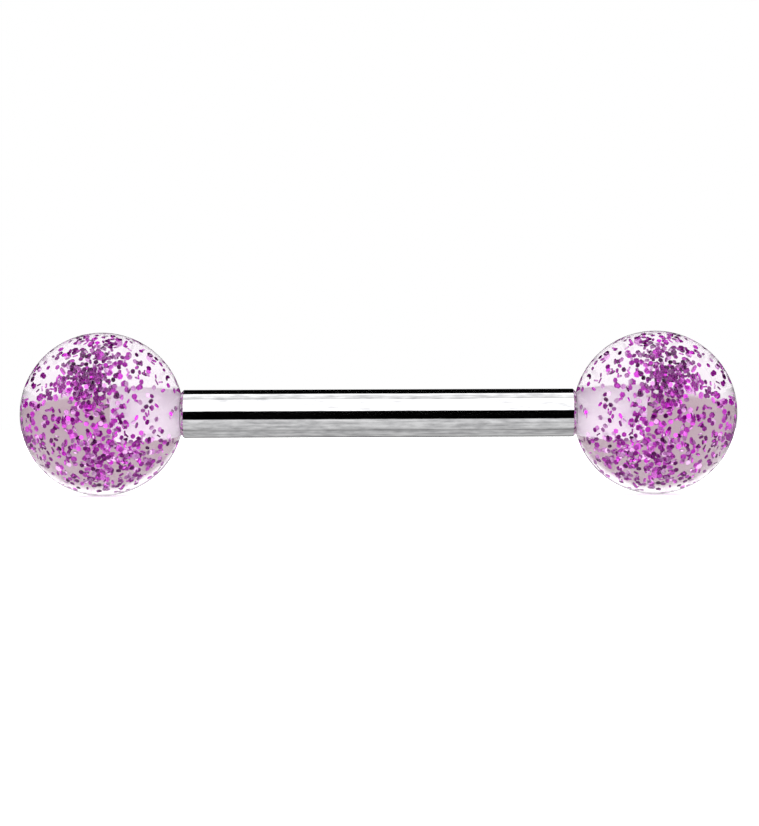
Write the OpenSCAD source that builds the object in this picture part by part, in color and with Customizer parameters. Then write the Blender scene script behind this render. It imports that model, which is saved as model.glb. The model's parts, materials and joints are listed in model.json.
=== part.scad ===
// Straight barbell for a body piercing: a polished steel bar with a clear,
// glitter-filled ball screwed onto each end. X runs along the bar, and the
// origin is at the middle of the bar.

/* [Bar] */
// Diameter of the plain shank
bar_d = 1.18; // [1.1:0.01:1.3]
// Wearing length, from the face of one ball to the face of the other
wear_length = 9.55; // [6:0.05:16]
// Width of the 45 degree bevel on each shoulder of the shank
shoulder_bevel = 0.07; // [0.05:0.01:0.15]

/* [Thread] */
// Outer diameter of each threaded end
thread_d = 0.88; // [0.8:0.01:1]
// Pitch of the thread, which sets how far a ball travels in one turn
thread_pitch = 0.225; // [0.2:0.005:0.25]
// Length of each threaded end, from the shoulder to the tip
thread_length = 1.6; // [1.2:0.05:1.65]
// Radial clearance between a threaded end and its hole
thread_clearance = 0.02; // [0.01:0.01:0.04]
// Width of the thread relief beside the shoulder
relief_width = 0.12; // [0.08:0.01:0.2]
// Depth of the thread relief below the thread's outer surface
relief_depth = 0.13; // [0.08:0.01:0.15]

/* [Balls] */
// Diameter of each ball
ball_d = 4; // [3.5:0.1:5]
// Solid acrylic left between the floor of the hole and the middle of the ball
hole_floor_offset = 0.175; // [0.15:0.005:0.3]
// Thickness of the hole's wall and floor
wall_thickness = 0.07; // [0.05:0.01:0.1]
// Gap between the hole's wall and the ball around it
wall_gap = 0.01; // [0.01:0.005:0.02]
// How far the shoulder of the bar stands off the mouth of the hole
seat_gap = 0.016; // [0.01:0.002:0.03]

/* [Glitter] */
// Number of flakes tried for each ball
flake_count = 170; // [40:10:240]
// Width of a flake across its corners
flake_d = 0.12; // [0.08:0.01:0.15]
// Thickness of a flake
flake_thickness = 0.03; // [0.01:0.005:0.04]
// Seed of the flakes' places and tilts
flake_seed = 11; // [1:1:99]

/* [Hidden] */
$fn = 96;

bar_r = bar_d / 2;
thread_r = thread_d / 2;
ball_r = ball_d / 2;
ball_x = wear_length / 2 + ball_r;

// The hole in a ball, measured outwards from the middle of the ball towards the bar
hole_r = thread_r + thread_clearance;
wall_r = hole_r + wall_thickness;
socket_r = wall_r + wall_gap;
mouth_depth = sqrt(ball_r * ball_r - wall_r * wall_r);
floor_back = hole_floor_offset - wall_thickness;
socket_back = floor_back - wall_gap;

// Stations along the bar, measured from its middle
shoulder_x = ball_x - mouth_depth - seat_gap;
shank_x = shoulder_x - shoulder_bevel;
tip_x = shoulder_x + thread_length;
tip_bevel = 0.1;

// Flakes keep this far inside the ball's surface and outside the socket
flake_margin = 0.08;
flake_reach = ball_r - flake_margin;
flake_keep_out = socket_r + flake_margin;

// Half of the bar's outline, as [radius, distance from the middle]
half_outline = [
    [bar_r, shank_x],
    [bar_r - shoulder_bevel, shoulder_x],
    [thread_r - relief_depth, shoulder_x],
    [thread_r - relief_depth, shoulder_x + relief_width],
    [thread_r, shoulder_x + relief_width + relief_depth],
    [thread_r, tip_x - tip_bevel],
    [thread_r - tip_bevel, tip_x],
    [0, tip_x]
];

// The same outline followed from one tip of the bar to the other
function mirrored(points) =
    [for (i = [len(points) - 1 : -1 : 0]) [points[i][0], -points[i][1]]];

// A point at a share of the way out, on a given bearing and height on the unit ball
function ball_point(share, bearing, height) =
    let (
        distance = flake_reach * pow(share, 1 / 3),
        ring = distance * sqrt(1 - height * height)
    )
    [ring * cos(bearing), ring * sin(bearing), distance * height];

// Is a point clear of the socket, which opens towards -Z in a ball's own frame?
function clear_of_socket(p) =
    norm([p[0], p[1]]) > flake_keep_out || p[2] > -socket_back + flake_margin;

// Places its children, drawn with the middle of the ball at the origin and +Z
// pointing away from the bar, at the right end (side 1) or the left end (side -1)
module at_end(side) {
    mirror([side > 0 ? 0 : 1, 0, 0])
        translate([ball_x, 0, 0])
            rotate([0, 90, 0])
                children();
}

module ball() {
    color([0.93, 0.89, 0.97, 0.4])
        difference() {
            sphere(r = ball_r);
            translate([0, 0, -ball_r])
                cylinder(r = socket_r, h = ball_r - socket_back);
        }
}

module bore_wall() {
    color([0.88, 0.83, 0.93, 0.8])
        difference() {
            translate([0, 0, -mouth_depth])
                cylinder(r = wall_r, h = mouth_depth - floor_back);
            translate([0, 0, -ball_r])
                cylinder(r = hole_r, h = ball_r - hole_floor_offset);
        }
}

module flake() {
    cylinder(d = flake_d, h = flake_thickness, center = true, $fn = 6);
}

module glitter() {
    draws = rands(0, 1, flake_count * 6, flake_seed);
    color([0.55, 0.08, 0.62])
        for (i = [0 : flake_count - 1]) {
            place = ball_point(draws[6 * i], 360 * draws[6 * i + 1], 2 * draws[6 * i + 2] - 1);
            tilt = 360 * [draws[6 * i + 3], draws[6 * i + 4], draws[6 * i + 5]];
            if (clear_of_socket(place))
                translate(place) rotate(tilt) flake();
        }
}

module bar() {
    color([0.78, 0.78, 0.8])
        rotate([0, 90, 0])
            rotate_extrude()
                polygon(concat(mirrored(half_outline), half_outline));
}

bar();
at_end(-1) ball();  // left_ball
at_end(-1) bore_wall();  // left_ball_bore_wall
at_end(-1) glitter();  // left_ball_glitter
at_end(1) ball();  // right_ball
at_end(1) bore_wall();  // right_ball_bore_wall
at_end(1) glitter();  // right_ball_glitter
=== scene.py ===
"""Looks for a straight piercing barbell: a steel bar with a clear glitter ball on each end.

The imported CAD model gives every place. The bar and the balls are built again here as fine
meshes with real helical threads, and each ball's glitter as a denser scatter of flakes.
"""

import json
import math
import random

import bmesh
import bpy
from mathutils import Euler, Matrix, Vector


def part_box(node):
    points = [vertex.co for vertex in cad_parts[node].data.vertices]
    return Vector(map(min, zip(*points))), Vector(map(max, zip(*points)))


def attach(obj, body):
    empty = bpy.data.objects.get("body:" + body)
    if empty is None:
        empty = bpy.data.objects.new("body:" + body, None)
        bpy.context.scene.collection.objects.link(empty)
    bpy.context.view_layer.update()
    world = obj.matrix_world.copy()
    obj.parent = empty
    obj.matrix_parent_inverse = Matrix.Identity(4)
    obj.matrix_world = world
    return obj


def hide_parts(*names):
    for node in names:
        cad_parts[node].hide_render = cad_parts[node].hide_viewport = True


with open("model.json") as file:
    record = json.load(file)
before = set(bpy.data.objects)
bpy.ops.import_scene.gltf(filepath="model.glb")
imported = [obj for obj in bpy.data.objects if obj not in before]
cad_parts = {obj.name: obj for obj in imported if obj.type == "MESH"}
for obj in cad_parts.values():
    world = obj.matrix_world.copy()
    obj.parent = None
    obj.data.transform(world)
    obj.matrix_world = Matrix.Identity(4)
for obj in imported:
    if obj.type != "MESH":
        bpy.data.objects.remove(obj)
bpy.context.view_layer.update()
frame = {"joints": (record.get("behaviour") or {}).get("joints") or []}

MM = 0.001
SIDES = {"left": -1, "right": 1}

# Thread, as on the real part: 0.9 mm by 0.225 mm, right-hand, 60 degrees
PITCH = 0.225 * MM
PITCH_LINE_R = 0.377 * MM
FLANK_SLOPE = math.tan(math.radians(60))
THREAD_FIT = 0.006 * MM
STUD_CREST_R = 0.44 * MM
STUD_ROOT_R = 0.31 * MM
HOLE_CREST_R = 0.332 * MM
HOLE_ROOT_R = 0.452 * MM

# Bar
SHOULDER_BEVEL = 0.07 * MM
SEAT_GAP = 0.016 * MM
RELIEF_WIDTH = 0.12 * MM
TIP_BEVEL = 0.1 * MM
TIP_FACE_R = STUD_CREST_R - 1.6 * TIP_BEVEL
EDGE_ROUNDING = 0.015 * MM
TIP_DOME = EDGE_ROUNDING / 3

# Hole in a ball, and the thread cut in its wall
MOUTH_R = 0.503 * MM
WALL_R = 0.463 * MM
WALL_GAP = 0.003 * MM
THREAD_SETBACK = 0.05 * MM
THREAD_CHAMFER = 0.11 * MM
THREAD_RUN_OUT = PITCH / 4
FLOOR_OFFSET = 0.175 * MM
FLOOR_THICKNESS = 0.03 * MM
FLOOR_ROUNDING = 0.1 * MM

# Glitter: a flake's middle is drawn at least the skin inside the ball's surface and the thread's
# roots, and then moved in by as much as leaves the room that its corners need at any tilt
FLAKE_D = 0.12 * MM
FLAKE_THICKNESS = 0.03 * MM
FLAKE_CORNERS = 6
FLAKES_PER_BALL = 1300
FLAKE_SKIN = 0.05 * MM
FLAKE_ROOM = 0.065 * MM
FLAKE_SEED = 21

# Clumps of flakes: the middle in a ball's own frame, the scatter and the share of all draws
CLUMPS = [
    (Vector((0.12, -1.5, 0.78)) * MM, 0.25 * MM, 0.05),
    (Vector((-0.1, -0.9, 1.5)) * MM, 0.3 * MM, 0.035),
    (Vector((-0.4, -1.1, -1.15)) * MM, 0.4 * MM, 0.045),
]

# The zone beside and above the hole, and the share of its flakes that is left out
SPARSE_X = -0.3 * MM
SPARSE_Z = -0.3 * MM
SPARSE_LOSS = 0.25

# Thinning towards the back: where it starts, over how many mm it grows, and the most left out
BACK_START_MM = -0.5
BACK_SPAN_MM = 1.2
BACK_LOSS = 0.8

# Where the ball's lens folds, as seen by the camera: the radius about the line of sight at the
# middle of the ball, how fast it narrows with depth, and the depth it begins at
FOLD_R = 1.42 * MM
FOLD_TAPER = 0.6
FOLD_DEPTH = 0.85 * MM
FOLD_INSIDE = 0.1 * MM
FOLD_OUTSIDE = 0.2 * MM
AS_IT_IS = "as it is"
SMEARED = "smeared"
UNSEEN = "unseen"

# Camera
CAMERA_DISTANCE = 65 * MM
VIEW_WIDTH = 20.245 * MM
SENSOR_WIDTH = 36

# Meshing
SEGMENTS = 128
SPHERE_RINGS = 96
RINGS_PER_PITCH = 20
SHANK_RINGS = 24
WALL_RINGS = 24
LINING_RINGS = 12
CHAMFER_RINGS = 10
FLOOR_RINGS = 6
SHARP_ANGLE = math.radians(28)

# Where each thing is, from the frame
joint_at = {j["name"]: j for j in frame["joints"]}
ball_x = joint_at["right_ball_unscrew"]["pos_m"][0]
ball_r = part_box("right_ball")[1].x - ball_x
bar_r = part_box("bar")[1].z
tip_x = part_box("bar")[1].x
shoulder_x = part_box("right_ball_bore_wall")[0].x - SEAT_GAP

# The edge of a ball's mouth, measured from the ball's middle, away from the bar
mouth_edge = -math.sqrt(ball_r**2 - MOUTH_R**2)


# ---------------------------------------------------------------- mesh helpers


def thread_radius(x, turn, crest_r, root_r, fit):
    """Radius of a right-hand thread about X, at a place along it and a share of a turn."""
    along = (x / PITCH - turn) % 1
    from_crest = min(along, 1 - along) * PITCH
    flank = PITCH_LINE_R + fit + (PITCH / 4 - from_crest) * FLANK_SLOPE
    return min(max(flank, root_r), crest_r)


def stud_radius(x, turn):
    """Radius of the thread on the bar."""
    return thread_radius(x, turn, STUD_CREST_R, STUD_ROOT_R, -THREAD_FIT)


def hole_radius(x, turn):
    """Radius of the thread in a ball."""
    return thread_radius(x, turn, HOLE_ROOT_R, HOLE_CREST_R, THREAD_FIT)


def lathe(name, stations, materials):
    """A closed mesh turned about X. A station is (x, radius, thread, material), where thread is
    None or a function that limits the radius, and the first and last stations have radius 0."""
    bm = bmesh.new()
    rings = []
    for x, radius, thread, _ in stations:
        if radius == 0:
            rings.append([bm.verts.new((x, 0, 0))])
            continue
        ring = []
        for k in range(SEGMENTS):
            turn = k / SEGMENTS
            r = thread(x, turn, radius) if thread else radius
            angle = 2 * math.pi * turn
            ring.append(bm.verts.new((x, r * math.cos(angle), r * math.sin(angle))))
        rings.append(ring)
    for one, other, station in zip(rings, rings[1:], stations[1:]):
        for k in range(SEGMENTS):
            after = (k + 1) % SEGMENTS
            if len(one) == 1:
                corners = [one[0], other[k], other[after]]
            elif len(other) == 1:
                corners = [one[k], one[after], other[0]]
            else:
                corners = [one[k], one[after], other[after], other[k]]
            face = bm.faces.new(corners)
            face.smooth = True
            face.material_index = station[3]
    bmesh.ops.recalc_face_normals(bm, faces=bm.faces)
    mesh = bpy.data.meshes.new(name)
    bm.to_mesh(mesh)
    bm.free()
    mesh.set_sharp_from_angle(angle=SHARP_ANGLE)
    for material in materials:
        mesh.materials.append(material)
    piece = bpy.data.objects.new(name, mesh)
    bpy.context.scene.collection.objects.link(piece)
    return piece


def spaced(start, end, steps):
    """Evenly spaced values from start to end, without start."""
    return [start + (end - start) * k / steps for k in range(1, steps + 1)]


def rounded(before, corner, after, rounding, steps=4):
    """Points that cut a corner of an outline with a curve as long as rounding on each side."""
    corner = Vector(corner)
    start = corner + (Vector(before) - corner).normalized() * rounding
    end = corner + (Vector(after) - corner).normalized() * rounding
    points = []
    for k in range(steps + 1):
        t = k / steps
        points.append(start * (1 - t) ** 2 + corner * 2 * t * (1 - t) + end * t**2)
    return [tuple(p) for p in points]


# ---------------------------------------------------------------- node helpers


class Nodes:
    """A material's or a world's node tree, with short calls to fill it."""

    def __init__(self, owner):
        owner.use_nodes = True
        self.tree = owner.node_tree
        self.tree.nodes.clear()

    def add(self, kind, inputs=None, **settings):
        node = self.tree.nodes.new(kind)
        for key, value in settings.items():
            setattr(node, key, value)
        for key, value in (inputs or {}).items():
            self.feed(node, key, value)
        return node

    def feed(self, node, key, value):
        """Links an input to a socket, or sets it to a value."""
        socket = node.inputs[key]
        if isinstance(value, bpy.types.NodeSocket):
            self.tree.links.new(value, socket)
        else:
            socket.default_value = value

    def math(self, operation, *values):
        node = self.add("ShaderNodeMath", dict(enumerate(values)), operation=operation)
        return node.outputs[0]

    def blend(self, factor, first, second):
        """A mix of two colours. The node's colour sockets have numbers, as its names repeat."""
        node = self.add("ShaderNodeMix", data_type="RGBA")
        self.feed(node, 0, factor)
        self.feed(node, 6, first)
        self.feed(node, 7, second)
        return node.outputs[2]

    def ramp(self, value, stops):
        """A colour ramp. A stop is (place, colour), where a plain number is a shade of grey."""
        node = self.add("ShaderNodeValToRGB", {0: value})
        elements = node.color_ramp.elements
        while len(elements) < len(stops):
            elements.new(0.5)
        for element, (place, colour) in zip(elements, stops):
            element.position = place
            element.color = colour if isinstance(colour, tuple) else (colour,) * 3 + (1,)
        return node.outputs[0]

    def object_noise(self, scale, detail=3, stretch=(1, 1, 1)):
        """Noise over the piece's own coordinates, with scale in features per metre."""
        coordinates = self.add("ShaderNodeTexCoord").outputs["Object"]
        mapping = self.add("ShaderNodeMapping", {"Vector": coordinates, "Scale": stretch})
        noise = self.add(
            "ShaderNodeTexNoise",
            {"Vector": mapping.outputs[0], "Scale": scale, "Detail": detail},
        )
        return noise.outputs["Fac"]


# ---------------------------------------------------------------- materials


def polished_steel():
    """Drawn and polished surgical steel, with fine lines along the bar."""
    material = bpy.data.materials.new("polished_steel")
    n = Nodes(material)
    drawn = n.object_noise(14000, detail=4, stretch=(0.04, 1, 1))
    scuffs = n.object_noise(11000, detail=4, stretch=(0.25, 1, 1))
    lines = n.math("MULTIPLY", n.math("ADD", drawn, scuffs), 0.5)
    broad = n.object_noise(2500, detail=2, stretch=(0.05, 1, 1))
    colour = n.ramp(lines, [(0.38, (0.44, 0.44, 0.45, 1)), (0.61, (0.82, 0.82, 0.83, 1))])
    wear = n.math("MULTIPLY_ADD", lines, 0.08, 0.01)
    bump = n.add(
        "ShaderNodeBump",
        {"Height": n.math("ADD", lines, broad), "Distance": 0.000002, "Strength": 0.35},
    )
    shader = n.add(
        "ShaderNodeBsdfPrincipled",
        {
            "Base Color": colour,
            "Metallic": 1.0,
            "Roughness": wear,
            "Normal": bump.outputs[0],
        },
    )
    n.add("ShaderNodeOutputMaterial", {"Surface": shader.outputs[0]})
    return material


def clear_acrylic():
    """Clear cast acrylic: a faint lavender tint, a hand-worn polish, and a mirror image that is
    damped where the surface is seen head on."""
    material = bpy.data.materials.new("clear_acrylic")
    n = Nodes(material)
    smears = n.object_noise(700, detail=4)
    polish = n.ramp(smears, [(0.35, 0.03), (0.75, 0.06)])
    ripple = n.object_noise(500, detail=1)
    bump = n.add(
        "ShaderNodeBump", {"Height": ripple, "Distance": 0.00001, "Strength": 0.15}
    )
    shader = n.add(
        "ShaderNodeBsdfPrincipled",
        {
            "Base Color": (0.99, 0.955, 0.985, 1),
            "Roughness": polish,
            "IOR": 1.49,
            "Specular Tint": (0.25, 0.25, 0.25, 1),
            "Transmission Weight": 1.0,
            "Normal": bump.outputs[0],
        },
    )
    n.add("ShaderNodeOutputMaterial", {"Surface": shader.outputs[0]})
    return material


def tapped_acrylic():
    """The wall of the tapped hole, milky with fine tool marks."""
    material = bpy.data.materials.new("tapped_acrylic")
    n = Nodes(material)
    marks = n.object_noise(12000, detail=3, stretch=(1, 0.2, 0.2))
    colour = n.ramp(marks, [(0.3, (0.96, 0.93, 0.96, 1)), (0.7, (0.99, 0.97, 0.99, 1))])
    rough = n.ramp(marks, [(0.3, 0.5), (0.7, 0.7)])
    shader = n.add(
        "ShaderNodeBsdfPrincipled", {"Base Color": colour, "Roughness": rough}
    )
    n.add("ShaderNodeOutputMaterial", {"Surface": shader.outputs[0]})
    return material


def purple_glitter():
    """Metallised purple film. Each flake gets a random shade, from deep violet to pale mauve,
    with a
    few in bright magenta: the purple is the film's own, and the spread from dark to bright is
    painted light and shade for how each flake catches the light."""
    material = bpy.data.materials.new("purple_glitter")
    n = Nodes(material)
    own = n.add("ShaderNodeNewGeometry").outputs["Random Per Island"]
    # Painted light and shade: the random spread per flake, from deep violet through bright
    # magenta to pale mauve, stands in for how each flake catches the light
    shade = n.ramp(
        own,
        [
            (0.0, (0.09, 0.0002, 0.09, 1)),
            (0.14, (0.21, 0.001, 0.21, 1)),
            (0.3, (0.40, 0.015, 0.40, 1)),
            (0.5, (0.64, 0.08, 0.64, 1)),
            (0.62, (0.72, 0.18, 0.72, 1)),
            (0.66, (0.98, 0.06, 0.98, 1)),
            (0.69, (0.98, 0.06, 0.98, 1)),
            (0.73, (0.66, 0.25, 0.66, 1)),
            (1.0, (0.82, 0.57, 0.83, 1)),
        ],
    )
    film = n.math("MULTIPLY_ADD", n.object_noise(30000), 0.2, 0.2)
    shader = n.add(
        "ShaderNodeBsdfPrincipled",
        {"Base Color": shade, "Metallic": 0.72, "Roughness": film},
    )
    n.add("ShaderNodeOutputMaterial", {"Surface": shader.outputs[0]})
    return material


# ---------------------------------------------------------------- pieces


def stud_envelope(x, turn, radius):
    """The thread on the bar, cut back where its run-in or its tip is narrower."""
    return min(radius, stud_radius(x, turn))


def half_bar():
    """Stations of the bar from its middle to the tip of its right-hand end."""
    outline = [
        (shoulder_x - SHOULDER_BEVEL, bar_r),
        (shoulder_x, bar_r - SHOULDER_BEVEL),
        (shoulder_x, STUD_ROOT_R),
        (shoulder_x + RELIEF_WIDTH, STUD_ROOT_R),
    ]
    shank_end = outline[0][0] - 2 * EDGE_ROUNDING
    stations = [(x, bar_r, None, 0) for x in spaced(0, shank_end, SHANK_RINGS)]
    before = (0, bar_r)
    for corner, after in zip(outline, outline[1:]):
        stations += [
            (x, r, None, 0) for x, r in rounded(before, corner, after, EDGE_ROUNDING)
        ]
        before = corner
    start = shoulder_x + RELIEF_WIDTH
    steps = round((tip_x - start) / PITCH * RINGS_PER_PITCH)
    for x in [start] + spaced(start, tip_x, steps):
        run_in = STUD_ROOT_R + (x - start)
        tip = STUD_CREST_R - TIP_BEVEL + (tip_x - x)
        stations.append((x, min(run_in, tip, STUD_CREST_R), stud_envelope, 0))
    stations.append((tip_x, TIP_FACE_R, None, 0))
    stations.append((tip_x + TIP_DOME, 0, None, 0))
    return stations


def build_bar(steel):
    """The whole bar in one mesh, with the same right-hand thread on both ends."""
    half = half_bar()
    other_half = [(-x, r, thread, m) for x, r, thread, m in reversed(half)]
    bar = lathe("bar_steel", other_half + [(0, bar_r, None, 0)] + half, [steel])
    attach(bar, "bar")
    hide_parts("bar")


def hole_floor(wall_r, setback):
    """Stations of a blind end: the rounding from the wall to the floor, then its middle."""
    end = -FLOOR_OFFSET - setback
    start = end - FLOOR_ROUNDING
    stations = []
    for angle in spaced(0, math.pi / 2, FLOOR_RINGS):
        x = start + FLOOR_ROUNDING * math.sin(angle)
        stations.append((x, wall_r - FLOOR_ROUNDING * (1 - math.cos(angle)), None, 1))
    stations.append((end, 0, None, 1))
    return stations


def placed(stations, side):
    """Stations measured from a ball's middle, away from the bar, moved to their end of it."""
    return [(SIDES[side] * (ball_x + x), *rest) for x, *rest in stations]


def build_ball(side, acrylic, tapped):
    """The clear body: its outer surface from the far pole to the mouth, then down the hole."""
    stations = [(ball_r, 0, None, 0)]
    for angle in spaced(0, math.acos(mouth_edge / ball_r), SPHERE_RINGS):
        stations.append((ball_r * math.cos(angle), ball_r * math.sin(angle), None, 0))
    wall_start = mouth_edge + MOUTH_R - WALL_R
    stations.append((wall_start, WALL_R, None, 0))
    for x in spaced(wall_start, -FLOOR_OFFSET - FLOOR_ROUNDING, WALL_RINGS):
        stations.append((x, WALL_R, None, 1))
    stations += hole_floor(WALL_R, 0)
    ball = lathe(side + "_ball_acrylic", placed(stations, side), [acrylic, tapped])
    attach(ball, side + "_ball")
    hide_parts(side + "_ball")


def build_thread(side, tapped):
    """The tapped lining of the hole, from its outer floor to the mouth and back inside."""
    outer_r = WALL_R - WALL_GAP
    mouth = mouth_edge + THREAD_SETBACK
    stations = [(x, r, None, 0) for x, r, *_ in reversed(hole_floor(outer_r, WALL_GAP))]
    for x in spaced(stations[-1][0], mouth, LINING_RINGS):
        stations.append((x, outer_r, None, 0))
    opening_r = outer_r - WALL_GAP
    stations.append((mouth, opening_r, None, 0))
    chamfer_end = mouth + THREAD_CHAMFER
    thread_end = -FLOOR_OFFSET - FLOOR_THICKNESS - FLOOR_ROUNDING

    def cut(x, turn, radius):
        """The thread's radius at a place on the bar's axis, fading out at the floor."""
        depth = thread_end - (abs(x) - ball_x)
        fade = min(1, max(0, depth / THREAD_RUN_OUT))
        return max(radius, HOLE_CREST_R + (hole_radius(x, turn) - HOLE_CREST_R) * fade)

    for x in spaced(mouth, chamfer_end, CHAMFER_RINGS):
        share = (x - mouth) / THREAD_CHAMFER
        stations.append((x, opening_r + (HOLE_CREST_R - opening_r) * share, cut, 0))
    steps = round((thread_end - chamfer_end) / PITCH * RINGS_PER_PITCH)
    for x in spaced(chamfer_end, thread_end, steps):
        stations.append((x, HOLE_CREST_R, cut, 0))
    inner_floor = hole_floor(HOLE_CREST_R, FLOOR_THICKNESS)
    stations += [(x, r, None, 0) for x, r, *_ in inner_floor]
    thread = lathe(side + "_ball_thread", placed(stations, side), [tapped])
    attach(thread, side + "_ball")
    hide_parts(side + "_ball_bore_wall")


def cast_in(place):
    """The nearest place to this one where no corner of a flake comes out of the acrylic."""
    floor = -FLOOR_OFFSET + FLAKE_ROOM
    wall = WALL_R + FLAKE_ROOM
    skin = ball_r - FLAKE_ROOM
    x, y, z = place
    from_axis = math.hypot(y, z)
    if from_axis < wall and -FLOOR_OFFSET < x < floor:
        x = floor
    if from_axis < wall and x < floor:
        y *= wall / from_axis
        z *= wall / from_axis
    moved = Vector((x, y, z))
    return moved * min(1, skin / moved.length)


def seen_as(place):
    """How a flake at this place shows to the camera through the lens that the ball is: as it
    is, smeared near the fold of the lens, or unseen beyond the fold."""
    sight = Vector((ball_x, CAMERA_DISTANCE, 0)).normalized()
    depth = place.dot(sight)
    aside = (place - sight * depth).length
    past = aside - (FOLD_R - FOLD_TAPER * depth)
    if depth < FOLD_DEPTH or past < -FOLD_INSIDE:
        return AS_IT_IS
    return SMEARED if past < FOLD_OUTSIDE else UNSEEN


def flake_places():
    """Places for the flakes in a ball's own frame, with +X away from the bar and +Y to the
    back: a scatter that thins out to the back, with a few loose clumps, as the resin set, and
    an empty ring where the ball's lens would smear them."""
    draw = random.Random(FLAKE_SEED)
    reach = ball_r - FLAKE_SKIN
    keep_out = HOLE_ROOT_R + FLAKE_SKIN
    places = []
    while len(places) < FLAKES_PER_BALL:
        pick = draw.random()
        place = Vector([draw.uniform(-reach, reach) for _ in range(3)])
        for centre, scatter, share in CLUMPS:
            if 0 <= pick < share:
                place = centre + Vector([draw.gauss(0, scatter) for _ in range(3)])
            pick -= share
        past_floor = place.x > -FLOOR_OFFSET + FLAKE_SKIN
        clear = past_floor or math.hypot(place.y, place.z) > keep_out
        by_hole = place.x < SPARSE_X and place.z > SPARSE_Z
        sparse = by_hole and draw.random() < SPARSE_LOSS
        back = min(1, max(0, (place.y / MM - BACK_START_MM) / BACK_SPAN_MM))
        behind = draw.random() < BACK_LOSS * back
        seen = seen_as(place)
        thinned = seen == SMEARED or behind and seen == AS_IT_IS
        if place.length < reach and clear and not sparse and not thinned:
            places.append(cast_in(place))
    tilts = [
        Euler([draw.uniform(0, 2 * math.pi) for _ in range(3)]).to_matrix()
        for _ in places
    ]
    return list(zip(places, tilts))


def flake_faces(first):
    """The faces of one flake, whose corners are numbered from first: the lower ones, then the
    upper ones."""
    around = range(FLAKE_CORNERS)
    top = first + FLAKE_CORNERS
    faces = [[first + k for k in reversed(around)], [top + k for k in around]]
    for k in around:
        after = (k + 1) % FLAKE_CORNERS
        faces.append([first + k, first + after, top + after, top + k])
    return faces


def build_flakes(side, places, glitter):
    """Hexagonal flakes in one mesh. The left ball's are a mirror image of the right ball's."""
    sign = SIDES[side]
    vertices, faces = [], []
    for place, tilt in places:
        faces += [face[::sign] for face in flake_faces(len(vertices))]
        for height in (-FLAKE_THICKNESS / 2, FLAKE_THICKNESS / 2):
            for k in range(FLAKE_CORNERS):
                angle = math.radians(360 / FLAKE_CORNERS * k)
                corner = Vector((math.cos(angle), math.sin(angle), 0)) * FLAKE_D / 2
                corner.z = height
                x, y, z = place + tilt @ corner
                vertices.append((sign * (ball_x + x), y, z))
    mesh = bpy.data.meshes.new(side + "_ball_flakes")
    mesh.from_pydata(vertices, [], faces)
    mesh.materials.append(glitter)
    flakes = bpy.data.objects.new(mesh.name, mesh)
    bpy.context.scene.collection.objects.link(flakes)
    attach(flakes, side + "_ball")
    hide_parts(side + "_ball_glitter")


# ---------------------------------------------------------------- stage, light and camera


def build_floor():
    """A plain white table. For the steel's mirror image it glows with a painted reflection:
    light in front with one darker line, grey at the back, and black, a painted dark room, a
    little way in front of the bar. Through the balls it glows with painted light, brightest up
    to the bar, and turns beige far behind it."""
    floor_z = -ball_r
    half = 250 * MM
    mesh = bpy.data.meshes.new("floor")
    corners = [(-half, -half), (half, -half), (half, half), (-half, half)]
    mesh.from_pydata([(x, y, floor_z) for x, y in corners], [], [(0, 1, 2, 3)])
    material = bpy.data.materials.new("floor")
    n = Nodes(material)
    position = n.add("ShaderNodeNewGeometry").outputs["Position"]
    y = n.add("ShaderNodeSeparateXYZ", {0: position}).outputs["Y"]
    span = 50 * MM
    place = n.math("MULTIPLY_ADD", y, 1 / span, 0.5)

    def at(distance):
        """The ramp's place for a distance in mm behind the bar."""
        return 0.5 + distance * MM / span

    # Painted reflection: a glow that only glossy rays see, so the steel mirrors bands of light
    # and shade laid on the floor, black in front as a painted dark room
    painted_floor_reflection = n.ramp(
        place,
        [
            (at(-4.25), 0.0),
            (at(-4.0), 0.92),
            (at(-2.0), 0.80),
            (at(-0.8), 0.74),
            (at(-0.52), 0.32),
            (at(-0.25), 0.68),
            (at(1.2), 0.62),
            (at(2.4), 0.26),
        ],
    )
    # Painted light: a glow that only rays through the balls see, brighter than white up to the
    # bar, then white, then beige far behind
    through = n.ramp(
        place,
        [
            (at(0.5), (2.3, 2.3, 2.3, 1)),
            (at(2.5), (1.0, 0.97, 1.0, 1)),
            (at(13), (0.96, 0.93, 0.96, 1)),
            (at(19), (0.55, 0.425, 0.474, 1)),
        ],
    )
    cloth = n.add("ShaderNodeBsdfDiffuse", {"Color": (0.92, 0.92, 0.92, 1)})
    lift = n.add("ShaderNodeEmission", {"Strength": 0.35})
    plain = n.add("ShaderNodeAddShader", {0: cloth.outputs[0], 1: lift.outputs[0]})
    # The two glows below are painted: the reflection in the steel, and the light seen through the
    # balls
    mirror = n.add("ShaderNodeEmission", {"Color": painted_floor_reflection})
    painted_light_through_balls = n.add("ShaderNodeEmission", {"Color": through})
    path = n.add("ShaderNodeLightPath")
    glossy = n.add(
        "ShaderNodeMixShader",
        {0: path.outputs["Is Glossy Ray"], 1: plain.outputs[0], 2: mirror.outputs[0]},
    )
    either = n.add(
        "ShaderNodeMixShader",
        {0: path.outputs["Is Transmission Ray"], 1: glossy.outputs[0], 2: painted_light_through_balls.outputs[0]},
    )
    n.add("ShaderNodeOutputMaterial", {"Surface": either.outputs[0]})
    mesh.materials.append(material)
    floor = bpy.data.objects.new("floor", mesh)
    bpy.context.scene.collection.objects.link(floor)


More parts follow.
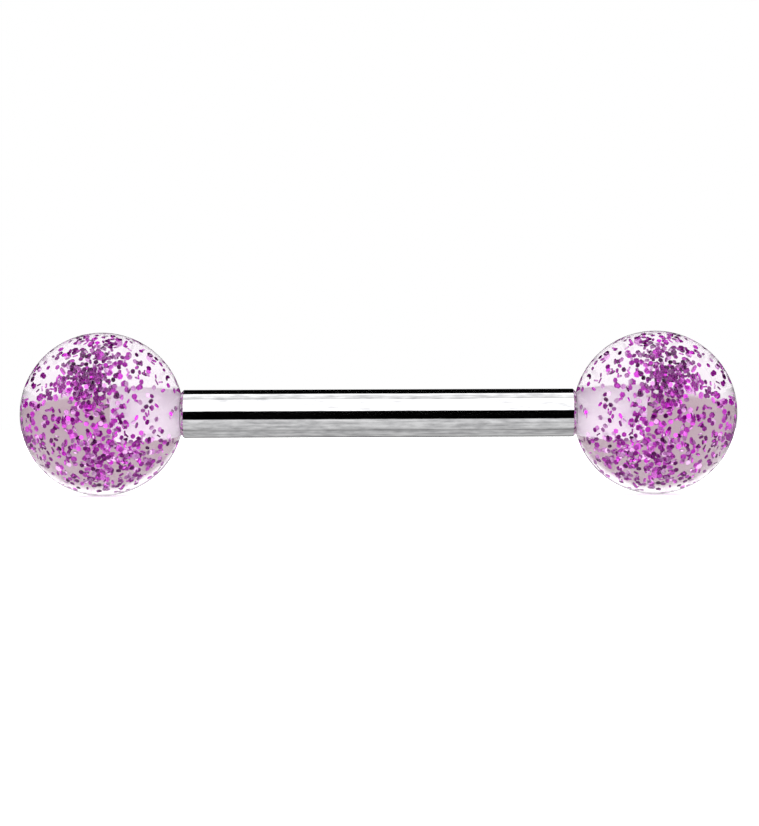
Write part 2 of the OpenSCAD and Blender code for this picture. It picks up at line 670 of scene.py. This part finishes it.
def studio():
    """Soft light from all round. Reflections see a wide light box overhead and a dark room in
    front and behind. Through the balls there is white light overhead, with a dark stripe that
    draws their rims, and a beige-grey wall behind."""
    world = bpy.data.worlds.new("studio")
    bpy.context.scene.world = world
    n = Nodes(world)
    way = n.add("ShaderNodeTexCoord").outputs["Generated"]
    axes = n.add("ShaderNodeSeparateXYZ", {0: way})
    forward = n.math("MULTIPLY", axes.outputs["Y"], -1.0)
    height = n.math("ABSOLUTE", axes.outputs["Z"])
    angle = n.math("ARCTAN2", height, forward)
    share = n.math("DIVIDE", angle, math.pi)

    def at(degrees):
        """The ramp's place for an angle: 0 is the front, 90 straight up or down, 180 the back."""
        return degrees / 180

    reflections = n.ramp(
        share,
        [
            (at(12.2), 0.0),
            (at(13.5), 1.25),
            (at(70), 1.25),
            (at(76), 0.48),
            (at(79), 0.68),
            (at(92), 0.84),
            (at(107.5), 1.25),
            (at(110.5), 0.0),
        ],
    )
    behind = n.ramp(
        share,
        [
            (at(2), (0.4, 0.4, 0.4, 1)),
            (at(16), (1.04, 1.02, 1.04, 1)),
            (at(78), (1.04, 1.02, 1.04, 1)),
            (at(83), (0.20, 0.17, 0.20, 1)),
            (at(95), (0.28, 0.24, 0.28, 1)),
            (at(112), (1.04, 1.02, 1.04, 1)),
            (at(130), (0.333, 0.26, 0.293, 1)),
            (at(180), (0.344, 0.265, 0.299, 1)),
        ],
    )
    path = n.add("ShaderNodeLightPath")
    colour = n.blend(path.outputs["Is Glossy Ray"], (1.5, 1.5, 1.5, 1), reflections)
    colour = n.blend(path.outputs["Is Transmission Ray"], colour, behind)
    lit = n.add("ShaderNodeBackground", {"Color": colour, "Strength": 1.6})
    seen = n.add("ShaderNodeBackground", {"Color": (1, 1, 1, 1), "Strength": 1.0})
    either = n.add(
        "ShaderNodeMixShader",
        {0: path.outputs["Is Camera Ray"], 1: lit.outputs[0], 2: seen.outputs[0]},
    )
    n.add("ShaderNodeOutputWorld", {"Surface": either.outputs[0]})


def build_camera():
    """Square to the bar, at the distance of a close product shot, and a touch off level."""
    aim_x = 0.025 * MM
    aim_z = 0.009 * MM
    roll = math.radians(0.21)
    camera = bpy.data.cameras.new("camera")
    camera.sensor_width = SENSOR_WIDTH
    camera.lens = camera.sensor_width * CAMERA_DISTANCE / VIEW_WIDTH
    camera.clip_start = 1 * MM
    camera.clip_end = 10
    seat = bpy.data.objects.new("camera", camera)
    seat.location = (aim_x, -CAMERA_DISTANCE, aim_z)
    seat.rotation_euler = (math.radians(90), roll, 0)
    bpy.context.scene.collection.objects.link(seat)
    bpy.context.scene.camera = seat


build_camera()
studio()
build_floor()
bpy.context.scene.view_settings.view_transform = "Standard"

glitter = purple_glitter()
acrylic = clear_acrylic()
tapped = tapped_acrylic()
build_bar(polished_steel())
places = flake_places()
for side in SIDES:
    build_ball(side, acrylic, tapped)
    build_thread(side, tapped)
    build_flakes(side, places, glitter)
